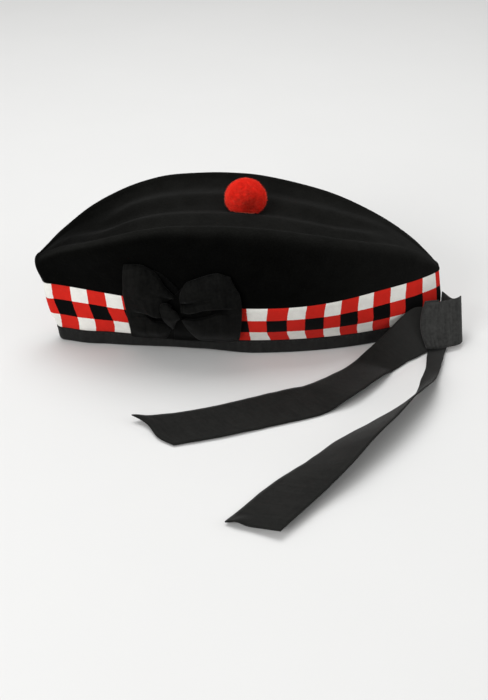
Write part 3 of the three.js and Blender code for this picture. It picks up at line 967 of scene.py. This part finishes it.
def makeStrands(wool):
    dice = random.Random(toorie["seed"])
    centre, uneven, tones = toorie["centre"], toorie["uneven"], toorie["strandTone"]
    strands = []
    for k in range(toorie["strands"]):
        height = 1 - 2 * (k + 0.5) / toorie["strands"]
        turn = k * math.pi * (3 - math.sqrt(5))
        flat = math.sqrt(1 - height * height)
        way = Vector((flat * math.cos(turn), flat * math.sin(turn), height))
        jitter = Vector([dice.gauss(0, 1) for _ in range(3)])
        lumps = uneven["lumps"] * noise.noise(way * uneven["lumpScale"])
        reach = toorie["reach"] * (1 + uneven["reach"] * dice.gauss(0, 1) + lumps)
        way.z *= toorie["flatten"]
        root = centre + way * (toorie["core"] - toorie["sunk"])
        tip = centre + way * reach + uneven["tip"] * jitter
        jitter = Vector([dice.gauss(0, 1) for _ in range(3)])
        bend = root.lerp(tip, toorie["bendAt"]) + uneven["bend"] * jitter
        if min(tip.z - crownBed(tip.x, tip.y), bend.z - crownBed(bend.x, bend.y)) < toorie["trim"]:
            continue
        tone = tones["plain"] + uneven["tone"] * dice.gauss(0, 1) - tones["shadeDrop"] * shadeAt(way)
        strands.append((root, bend, tip, min(1.0, max(0.0, tone))))
    addPiece("toorieWool", strandMesh("toorieWool", strands), wool)


def makeHead(wool):
    tones = toorie["headTone"]
    shape = bmesh.new()
    bmesh.ops.create_icosphere(shape, subdivisions=6, radius=1.0)
    tone = shape.verts.layers.float.new("tone")
    for v in shape.verts:
        way = v.co.normalized()
        tufts = [(row, noise.noise(way * row["scale"])) for row in toorie["tufts"]]
        v[tone] = tones["plain"] - tones["shadeDrop"] * shadeAt(way)
        v[tone] += sum(row["tone"] * n for row, n in tufts)
        reach = toorie["core"] * (1 + sum(row["size"] * n for row, n in tufts))
        way.z *= toorie["flatten"]
        point = toorie["centre"] + way * reach
        point.z = max(point.z, crownBed(point.x, point.y) + toorie["bedGap"])
        v.co = point * mm
    pieceFromShape("toorieHead", shape, wool, "toorie")


redWool = woolMaterial()
makeStrands(redWool)
makeHead(redWool)
print("toorie made")


# Bow: two gathered ribbon loops on the near wall, with a strap round their middle

bow = {
    "columns": 90,
    "rowsPerFold": 6,
    "tension": 0.42,
    "ground": 9.6,
    "groundNear": (1, -0.45),
    "frontShare": 0.56,
    "foldShare": 0.66,
    "backPower": 4,
    "thickness": 0.7,
    "relax": 0.35,
    "least": 0.8,
    "flatDepth": 5,
    "wrinkle": {"seed": 4.3, "start": 6, "pleats": 0.4, "pleatTurns": 47, "pleatReach": 0.45},
    "creases": rowsOf("size along across", (0.7, 3.5, 7), (0.35, 9, 19)),
    # Painted shade: darkening deep in the front folds and on the back layers near the strap.
    "shadeLow": (0.12, 0.06),
    "shadeHigh": (0.84, -0.06),
    "shadeDepth": (1.9 / 3, -1 / 3),
    "backShade": 0.6,
    "backNear": (0.65, -0.3),
    "look": {
        "dark": (0.0014, 0.0014, 0.0013, 1),
        "pale": (0.0060, 0.0061, 0.0056, 1),
        "pitch": 0.7, "sheen": 0.03, "specular": 0.05,
    },
}
# Fold lines run from the bottom edge to the top edge, and each cell is (x, z, depth) at one stop.
bowFront = {
    "flat": (0.060, 0.080),
    "away": -1,
    "back": 1.0,
    "backEnd": -47.5,
    "turn": 2.0,
    "stops": [0.0, 0.2, 0.45, 0.75, 1.0],
    "lines": [
        [(-56.4, 21.3, 1.2), (-59.8, 11, 1.8), (-66.4, 10.1, 2.4), (-74, 9.5, 2.6), (-81.9, 9.5, 2.4)],
        [(-57, 23.8, 2.6), (-61.2, 21, 5.2), (-66.6, 21.2, 7.4), (-74, 20.9, 7.4), (-82.2, 18.7, 4.6)],
        [(-58.9, 28.2, 3.4), (-61.9, 28.3, 5.4), (-67.2, 29.6, 6.8), (-72.8, 33.3, 7.6), (-83.2, 27.7, 5)],
        [(-59.5, 28.8, 0.9), (-62, 28.3, 0.9), (-67.6, 28.5, 1), (-73.1, 34.4, 5.8), (-83.7, 31.3, 5)],
        [(-59.8, 33.4, 1.4), (-62.1, 34, 1.4), (-67.7, 34.6, 1.6), (-73.3, 37.2, 5.8), (-84, 35.2, 5)],
        [(-60, 34.7, 5), (-62.3, 36.1, 7.4), (-67.7, 36.6, 9.4), (-73.7, 38.6, 8.8), (-84.4, 38.6, 5)],
        [(-60.3, 37.4, 5.6), (-62.5, 38.7, 8.2), (-68.4, 39.9, 10.2), (-75.2, 43.6, 9.6), (-84.8, 42.3, 4.9)],
        [(-59.8, 41, 4.2), (-62.7, 43.2, 7), (-69.2, 45.8, 8.4), (-77, 49, 8.6), (-85.3, 46.4, 4.8)],
        [(-59, 45.9, 3.4), (-62.1, 49.4, 6.6), (-68.9, 51.4, 8.6), (-77, 54.3, 9), (-85.4, 51.2, 4.8)],
        [(-56.2, 49.8, 2.6), (-61, 52.3, 5.2), (-68.1, 55, 8), (-76.7, 60.2, 9), (-85.1, 56.3, 4.7)],
        [(-53.8, 51.6, 4.6), (-59.4, 57.5, 7.4), (-66.9, 60.9, 8.8), (-76.1, 65.9, 8.6), (-84.9, 63.6, 4.6)],
        [(-52.5, 51.5, 3.4), (-59.4, 59.6, 5), (-65.4, 66.8, 6.6), (-75.4, 73.2, 6.4), (-84.2, 71, 4)],
        [(-52, 50.8, 1.8), (-59.8, 59.6, 2), (-64.3, 68.7, 2.2), (-75, 74.6, 2.2), (-83.4, 74.2, 2.2)],
    ],
    "backTop": rowsOf(
        "out z",
        (0, 51.4), (0.2, 62.6), (0.3, 66.2), (0.45, 69.4), (0.75, 72.4), (1, 70.2),
    ),
    "dents": rowsOf(
        "out across depth long wide",
        (0.6, 0.93, 1.5, 0.05, 0.02), (0.88, 0.56, 0.9, 0.03, 0.02), (0.72, 0.1, 0.8, 0.04, 0.03),
        (0.3, 0.93, 1.2, 0.05, 0.02),
    ),
}
bowBack = {
    "flat": (0.060, 0.110),
    "away": 1,
    "back": 1.6,
    "backEnd": -54.5,
    "turn": 1.4,
    "stops": [0.0, 0.18, 0.42, 0.72, 1.0],
    "lines": [
        [(-49.1, 31.1, 1.2), (-44.9, 22.9, 1.8), (-36.2, 11.4, 2.4), (-22.6, 10.9, 2.6), (-11.7, 12.7, 2.4)],
        [(-48.7, 33, 2.8), (-43.5, 29.2, 5), (-33.7, 25.6, 7.6), (-22.4, 26.2, 7.6), (-11.3, 26.6, 4.6)],
        [(-48.6, 34.1, 3.4), (-42.8, 34.3, 5.6), (-32.9, 37.1, 7), (-23.8, 41.2, 7.6), (-10.9, 38.8, 5)],
        [(-49, 34.3, 0.9), (-43.4, 34.1, 0.9), (-32.7, 37.3, 1), (-24, 42.6, 4), (-10.9, 43.4, 4.8)],
        [(-49.1, 39.6, 1.4), (-43.6, 40.4, 1.4), (-33.4, 44.4, 1.6), (-24.4, 46.9, 4.2), (-11, 46.8, 4.8)],
        [(-49.2, 41.3, 5.2), (-44, 42.5, 7.6), (-34.2, 47.3, 9.8), (-24.7, 48.7, 8.4), (-11, 49.5, 5)],
        [(-49.3, 44.7, 5.8), (-44.2, 47.3, 8.6), (-34.8, 51.6, 10.4), (-25, 53.3, 9), (-11.4, 52.9, 4.9)],
        [(-49.4, 46.4, 1.8), (-44.8, 47.9, 3.2), (-35.7, 53.3, 7.6), (-25.3, 56.2, 8.6), (-12, 56.2, 4.8)],
        [(-49.8, 50, 4.6), (-45.7, 52.9, 7.4), (-36.6, 58.2, 9.6), (-25.6, 61.1, 9.4), (-12.9, 59.1, 4.7)],
        [(-49.9, 53.6, 4.4), (-46.5, 59.8, 7), (-37.4, 65.4, 8.6), (-25.5, 68.6, 8.4), (-15.1, 63.1, 4.5)],
        [(-49.1, 56.1, 3), (-46, 63.1, 4.4), (-37.6, 68.5, 5.2), (-25.3, 72.3, 5), (-17.1, 67.4, 3.6)],
        [(-48.6, 56.9, 1.8), (-45.3, 63.4, 2), (-37.5, 68.1, 2.4), (-25.2, 72.2, 2.4), (-18.5, 70.6, 2.4)],
    ],
    "backTop": rowsOf("out z", (0.0, 50.4), (0.18, 57.6), (0.42, 65.0), (0.72, 70.2), (1.0, 68.8)),
    "dents": rowsOf(
        "out across depth long wide",
        (0.55, 0.86, 0.9, 0.03, 0.03), (0.68, 0.88, 0.8, 0.025, 0.025),
        (0.86, 0.73, 0.8, 0.03, 0.05), (0.66, 0.12, 0.8, 0.05, 0.03),
    ),
}


# The fold lines' points at one place along a lobe, as (x, z, depth).
def sectionAt(form, out):
    points = []
    for line in form["lines"]:
        rows = rowsOf("out x z depth", *[(stop, *cell) for stop, cell in zip(form["stops"], line)])
        points.append(Vector([smooth(rows, "out", key, out) for key in ("x", "z", "depth")]))
    return points


# Rounded curve through a section's points.
def curveThrough(points, share):
    last = len(points) - 1
    i = min(int(share * last), last - 1)
    t = share * last - i
    start, end = points[i], points[i + 1]
    leave = bow["tension"] * (end - points[max(0, i - 1)])
    arrive = bow["tension"] * (points[min(last, i + 2)] - start)
    return cubic(start, end, leave, arrive, t)


# Small unevenness of the gathered ribbon: pleats that leave the strap, creases and dents.
def bowWrinkle(side, out, b):
    form = bow["wrinkle"]
    seed = form["seed"] * side["away"]
    gathered = (1 - min(1.0, out / form["pleatReach"])) ** 2
    pleats = form["pleats"] * math.sin(form["pleatTurns"] * b + seed) * gathered
    creases = sum(crinkle(row, out, b, seed) for row in bow["creases"])
    dents = sum(
        row["depth"] * bell(out, row["out"], row["long"]) * bell(b, row["across"], row["wide"])
        for row in side["dents"]
    )
    return min(1.0, form["start"] * out) * (pleats + creases - dents)


def makeBowLoop(name, side, node, ribbon):
    flat = side["flat"]
    columns, rows = bow["columns"], bow["rowsPerFold"] * (len(side["lines"]) - 1)
    outs = []
    for i in range(columns + 1):
        a = i / columns
        if a <= bow["frontShare"]:
            outs.append(a / bow["frontShare"])
        else:
            outs.append(min(1.0, 1 - (a - bow["foldShare"]) / (1 - bow["foldShare"])))
    sections = [sectionAt(side, out) for out in outs]
    edge = sections[outs.index(1.0)]
    foldShades = {}

    # Front of the loop out to its edge, round the edge, and back along the wall behind it.
    def place(i, j):
        a, b, out = i / columns, j / rows, outs[i]
        x, z, depth = curveThrough(sections[i], b)
        if a <= bow["frontShare"]:
            # Painted shade where the fold lies deep.
            inner = ramp(b, *bow["shadeLow"]) * ramp(b, *bow["shadeHigh"])
            share = depth / max(point.z for point in sections[i])
            foldShades[i, j] = inner * ramp(share, *bow["shadeDepth"])
            loose = min(1.0, depth / bow["flatDepth"])
            depth = max(bow["least"], depth + bowWrinkle(side, out, b) * loose)
        else:
            share = (curveThrough(edge, b).y - edge[0].y) / (edge[-1].y - edge[0].y)
            low = mix(sections[i][0].y, bow["ground"], ramp(out, *bow["groundNear"]))
            layZ = mix(low, smooth(side["backTop"], "out", "z", out), share)
            turn = min(1.0, (a - bow["frontShare"]) / (bow["foldShare"] - bow["frontShare"]))
            over = 0.5 - 0.5 * math.cos(math.pi * turn)
            x += side["away"] * side["turn"] * math.sin(math.pi * turn)
            x = mix(x, side["backEnd"], (1 - out) ** bow["backPower"])
            z, depth = mix(z, layZ, over), mix(depth, side["back"], over)
            # Painted shade on the back layer near the strap.
            foldShades[i, j] = bow["backShade"] * ramp(out, *bow["backNear"])
        return Vector((x, wallFace(x, z) - depth, z))

    shape = gridShape(columns, rows, place, flatCloth(columns, rows, *flat))
    relax(shape, shape.verts, bow["relax"])
    loop = pieceFromShape(name, shape, ribbon, node)
    # The painted shade is kept in the hollow attribute.
    keepValues(loop, "hollow", [foldShades[cell] for cell in gridCells(columns, rows)])
    thicken(loop, bow["thickness"], 0)


strap = {
    "columns": 44,
    "rows": 28,
    "cloth": (0.011, 0.028),
    "flat": (0.0115, 0.028),
    "crinkle": {"size": 0.3, "along": 5, "across": 3},
    "seed": 9.1,
    "stops": [0.0, 0.1, 0.3, 0.58, 0.78, 0.94, 1.0],
    "lines": [
        [(-61, 45.1, 2), (-62.2, 46.9, 7), (-63, 43.9, 9), (-61.8, 36.9, 8.6),
         (-59.6, 31.4, 7), (-56.2, 24.9, 4), (-55.8, 22.3, 1.5)],
        [(-59.6, 45.4, 2), (-60.9, 48.3, 8.2), (-59.3, 44.9, 10.8), (-58.3, 37.7, 10.4),
         (-57.1, 32.6, 8.6), (-55.8, 25, 4.6), (-55.6, 22.1, 1.5)],
        [(-57.7, 45.3, 2), (-58.9, 48.3, 8.8), (-56.4, 45, 11.6), (-55.6, 38.1, 11),
         (-55.4, 32.7, 8.8), (-55.4, 25, 4.8), (-55.3, 21.9, 1.5)],
        [(-56.4, 44.7, 2), (-57.3, 46.8, 8.6), (-53.8, 44.2, 11), (-53, 37.9, 10),
         (-53.9, 32.7, 8), (-54.8, 25.2, 4.6), (-54.9, 22.2, 1.5)],
        [(-55.1, 43.5, 2), (-55.7, 45, 7.4), (-51.6, 41.8, 8.8), (-50.3, 36.9, 7.4),
         (-52.4, 33.4, 6.4), (-54.1, 25.9, 4), (-54.3, 22.9, 1.5)],
    ],
}


def makeStrap(ribbon):
    columns, rows = strap["columns"], strap["rows"]
    sections = [sectionAt(strap, i / columns) for i in range(columns + 1)]

    def place(i, j):
        x, z, depth = curveThrough(sections[i], j / rows)
        depth += crinkle(strap["crinkle"], i / columns, j / rows, strap["seed"])
        return Vector((x, wallFace(x, z) - depth, z))

    shape = gridShape(columns, rows, place, flatCloth(columns, rows, *strap["cloth"]))
    piece = pieceFromShape("bowStrap", shape, ribbon, "cockade_knot")
    thicken(piece, bow["thickness"], 0)


bowRibbon = ribbonMaterial("bowRibbon", bow["look"])
makeBowLoop("bowFrontLoop", bowFront, "cockade_front_loop", bowRibbon)
makeBowLoop("bowBackLoop", bowBack, "cockade_back_loop", bowRibbon)
makeStrap(bowRibbon)
print("bow made")


# Ribbon paths: a smooth line through the rows, kept as short steps with the length run so far

def ribbonPath(rows, steps=40):
    knots = [Vector((row["x"], row["y"], 0)) for row in rows]
    knots = [2 * knots[0] - knots[1]] + knots + [2 * knots[-1] - knots[-2]]
    points, runs = [knots[1]], [0.0]
    for before, start, end, after in zip(knots, knots[1:], knots[2:], knots[3:]):
        pairs = ((before, start), (start, end), (end, after))
        first, middle, last = [math.sqrt((q - p).length) for p, q in pairs]
        leave = (start - before) / first - (end - before) / (first + middle) + (end - start) / middle
        arrive = (end - start) / middle - (after - start) / (middle + last) + (after - end) / last
        for k in range(1, steps + 1):
            point = cubic(start, end, middle * leave, middle * arrive, k / steps)
            runs.append(runs[-1] + (point - points[-1]).length)
            points.append(point)
    length = runs[-1]
    table = [dict(row, share=runs[steps * k] / length) for k, row in enumerate(rows)]
    return {"points": points, "shares": [run / length for run in runs], "length": length, "rows": table}


def pathAt(path, share):
    shares, points = path["shares"], path["points"]
    i = 0
    while i < len(shares) - 2 and shares[i + 1] < share:
        i += 1
    part = (share - shares[i]) / (shares[i + 1] - shares[i])
    return points[i].lerp(points[i + 1], part)


def pathTangent(path, share, step=0.006):
    return (pathAt(path, min(1.0, share + step)) - pathAt(path, max(0.0, share - step))).normalized()


# Loop at the back seam: ribbon on edge, leaning to the cap

backLoop = {
    "columns": 110,
    "rows": 14,
    "lift": 3.2,
    "thickness": 0.8,
    "push": 2.0,
    "bulge": 3.8,
    "foldRow": 7,
    "foldWide": 0.14,
    "wave": {"size": 0.35, "along": 8, "across": 2.2},
    "seed": 5.1,
    "clothWidth": 0.033,
    "flatWidth": 0.032,
    "look": {
        "dark": (0.0120, 0.0120, 0.0114, 1),
        "pale": (0.0360, 0.0362, 0.0347, 1),
        "pitch": 0.8, "sheen": 0.1, "specular": 0.2,
    },
    "path": rowsOf(
        "x y width lean",
        (135.7, -1.5, 24.5, 0), (140.5, -11.5, 23, 8), (144.8, -21.5, 26.5, 21), (146, -29, 31, 29),
        (142.5, -34.6, 32.5, 30), (133, -38.2, 32.5, 30), (122.5, -40, 32.5, 30),
        (117.4, -38.6, 32.5, 30), (119.8, -36.8, 32, 30), (129, -34.6, 31.5, 30),
    ),
}


def makeBackLoop(ribbon):
    path = ribbonPath(backLoop["path"])
    foldShare = path["rows"][backLoop["foldRow"]]["share"]
    columns, rows = backLoop["columns"], backLoop["rows"]

    def place(i, j):
        share, b = i / columns, j / rows
        lean = math.radians(smooth(path["rows"], "share", "lean", share))
        reach = b * smooth(path["rows"], "share", "width", share)
        point = pathAt(path, share) + Vector((0, reach * math.sin(lean), reach * math.cos(lean)))
        bulge = backLoop["push"] - backLoop["bulge"] * math.sin(math.pi * b)
        bulge *= bell(share, foldShare, backLoop["foldWide"])
        wave = crinkle(backLoop["wave"], share, b, backLoop["seed"])
        return point + Vector((bulge, wave, backLoop["lift"]))

    cloth = flatCloth(columns, rows, backLoop["clothWidth"], path["length"] * mm)
    shape = gridShape(columns, rows, place, cloth)
    loop = pieceFromShape("ribbonLoop", shape, ribbon, "back_loop")
    thicken(loop, backLoop["thickness"], 0)


# Tails: laid ribbon with slanting ends; roll turns it from flat to on edge

tails = {
    "columns": 180,
    "rows": 16,
    "width": 0.034,
    "thickness": 0.8,
    "lift": 0.75,
    "flatRoll": 0.03,
    "rollSteps": (-0.036, -0.018, 0, 0.018, 0.036),
    "edge": {"size": 0.35, "along": 26, "across": 2},
    "ripple": {"size": 0.25, "along": 14, "across": 1.8},
    "creasePlace": (0.79, 0.13),
    "endCurl": (0.955, 0.045),
    "rootPaleSpan": (0.3, -0.25),
    "look": {
        "dark": (0.0025, 0.0026, 0.0022, 1),
        "pale": (0.0092, 0.0094, 0.0083, 1),
        "pitch": 0.8, "sheen": 0.08, "specular": 0.15,
    },
}
upperTail = {
    "cut": 20,
    "cutWave": -0.1,
    "curl": 2.2,
    "crease": 0,
    "seeds": (2.2, 20),
    "fade": 0.6,
    "path": rowsOf(
        "x y roll half",
        (131, -21, 60, 12), (124.8, -24, 56.7, 13.9), (116.3, -28.5, 50.2, 15.6),
        (105.9, -35.3, 36.8, 14.4), (94.9, -43, 19.7, 12.9), (82.3, -53.4, 1.8, 13.5),
        (69.1, -68.6, -10.6, 14.9), (51, -85, -10.6, 17), (30.3, -97, 2.6, 17),
        (6.4, -105.1, 1.4, 17), (-37.2, -118.7, -0.6, 17), (-78.9, -127.1, 2.5, 17),
    ),
}
lowerTail = {
    "cut": 9,
    "cutWave": 0,
    "curl": 0.7,
    "crease": 2.0,
    "seeds": (0.7, 9),
    "fade": 0.4,
    "path": rowsOf(
        "x y roll half",
        (128.4, -33, -3, 6.2), (125.1, -42.2, -8.5, 6), (121.6, -53.9, -13.8, 5.5),
        (118.1, -65.2, -19.5, 5.2), (113, -78, -27, 6), (109.2, -88.3, -43.1, 6.9),
        (104.8, -97.2, -54.9, 8.3), (93, -112, -51.3, 11.3), (74.1, -132.2, -38.7, 14.4),
        (50.3, -155.7, -29, 16.8), (34.8, -173, -22, 17), (15.2, -191.6, -12, 17),
        (-6, -215, -9, 16.4), (-16.8, -227.2, -6, 15.8),
    ),
}


def makeTail(name, tail, node, ribbon):
    path = ribbonPath(tail["path"])
    columns, rows = tails["columns"], tails["rows"]
    edgeSeed, rippleSeed = tail["seeds"]

    def place(i, j):
        a, b = i / columns, j / rows
        slant = 1 - b + tail["cutWave"] * math.sin(2 * math.pi * b)
        share = a * (1 - tail["cut"] / path["length"] * slant)
        ahead = pathTangent(path, share)
        rolls = [smooth(path["rows"], "share", "roll", share + step) for step in tails["rollSteps"]]
        roll = math.radians(sum(rolls) / len(rolls))
        half = smooth(path["rows"], "share", "half", share) + crinkle(tails["edge"], share, b, edgeSeed)
        over = Vector((ahead.y, -ahead.x, 0)) * math.cos(roll) + Vector((0, 0, math.sin(roll)))
        point = pathAt(path, share) + half * (2 * b - 1) * over
        curl = tail["curl"] * b * b + tail["crease"] * bell(b, *tails["creasePlace"])
        point.z += half * math.hypot(math.sin(roll), tails["flatRoll"]) + tails["lift"]
        point.z += crinkle(tails["ripple"], share, b, rippleSeed) + curl * ramp(a, *tails["endCurl"])
        return point

    shape = gridShape(columns, rows, place, flatCloth(columns, rows, tails["width"], path["length"] * mm))
    piece = pieceFromShape(name, shape, ribbon, node)
    # Paler towards the root, where the tail leaves the loop.
    fades = [tail["fade"] * ramp(i / columns, *tails["rootPaleSpan"]) for i, _ in gridCells(columns, rows)]
    keepValues(piece, "faded", fades)
    thicken(piece, tails["thickness"], 0)


tailRibbon = ribbonMaterial("tailRibbon", tails["look"])
loopRibbon = ribbonMaterial("loopRibbon", backLoop["look"])
makeBackLoop(loopRibbon)
makeTail("upperTail", upperTail, "tail_upper", tailRibbon)
makeTail("lowerTail", lowerTail, "tail_lower", tailRibbon)
print("ribbon loop and tails made")
